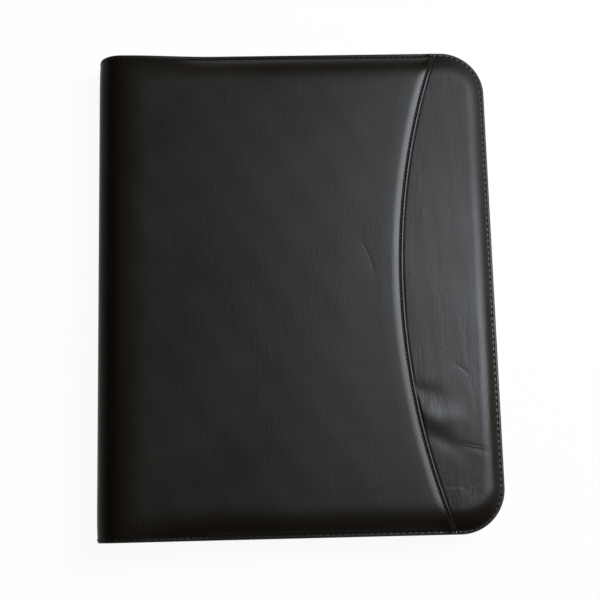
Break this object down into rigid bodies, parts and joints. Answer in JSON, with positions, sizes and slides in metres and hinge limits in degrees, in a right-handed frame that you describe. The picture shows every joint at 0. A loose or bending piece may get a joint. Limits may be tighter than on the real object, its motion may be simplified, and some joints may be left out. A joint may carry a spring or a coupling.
{
  "type": "zippered padfolio",
  "caption": "Closed zip-round folder with padded leather covers, a curved lapped front seam, a writing pad in a sleeve, pen loop, card slots and a document pocket.",
  "frame": {"origin": "on the table, under the middle of the closed folder", "axes": "+X from the spine to the fore edge, +Y up the page, +Z from the back cover to the front cover"},
  "size_m": [0.267, 0.33, 0.032],
  "materials": {
    "leather": "satin grained, black",
    "foam": "thin padding foam",
    "greyboard": "matt",
    "lining": "woven, black",
    "pocket_leather": "satin, black",
    "binding": "ribbed tape, black",
    "pad_board": "matt",
    "paper": "matt",
    "pad_tape": "matt",
    "clear_vinyl": "clear",
    "zip_tape": "woven herringbone, black",
    "zip_teeth": "moulded, black",
    "slider_metal": "black nickel"
  },
  "bodies": {
    "back_cover": {"back_skin": "leather", "back_foam": "foam", "back_board": "greyboard", "back_lining": "lining", "pad_sleeve": "pocket_leather", "pad_sleeve_binding": "binding", "pad_backing_board": "pad_board", "pad_sheets": "paper", "pad_binding": "pad_tape", "pen_loop": "binding", "zip_tape_back": "zip_tape", "zip_teeth_back": "zip_teeth", "zip_stop_back": "zip_teeth", "zip_tail_tape": "zip_tape", "zip_tail_teeth": "zip_teeth", "zip_end_tab": "leather"},
    "spine": {"spine_skin": "leather", "spine_stiffener": "greyboard", "spine_lining": "lining"},
    "front_cover": {"front_main_panel": "leather", "front_edge_panel": "leather", "front_foam": "foam", "front_edge_foam": "foam", "front_board": "greyboard", "front_lining": "lining", "document_pocket": "pocket_leather", "document_pocket_binding": "binding", "card_slot_rear": "pocket_leather", "card_slot_middle": "pocket_leather", "card_slot_front": "pocket_leather", "id_window": "clear_vinyl", "zip_tape_front": "zip_tape", "zip_teeth_front": "zip_teeth", "zip_stop_front": "zip_teeth"},
    "zip_slider": {"zip_slider": "slider_metal"},
    "zip_pull": {"zip_pull": "slider_metal"}
  },
  "joints": [
    {"name": "back_fold", "type": "hinge", "parent": "back_cover", "child": "spine", "pos_m": [-0.12881, 0, 0.00469], "axis": [0, -1, 0], "range_deg": [0, 90]},
    {"name": "front_fold", "type": "hinge", "parent": "spine", "child": "front_cover", "pos_m": [-0.12881, 0, 0.02731], "axis": [0, -1, 0], "range_deg": [0, 90]},
    {"name": "zip_slide", "type": "slide", "parent": "back_cover", "child": "zip_slider", "axis": [1, 0, 0], "range_m": [0, 0.205], "deforming": ["zip_teeth_front", "zip_teeth_back", "zip_tail_teeth"]},
    {"name": "pull_swing", "type": "hinge", "parent": "zip_slider", "child": "zip_pull", "pos_m": [-0.1074, -0.1617, 0.016], "axis": [0, 0, -1], "range_deg": [0, 110]}
  ]
}
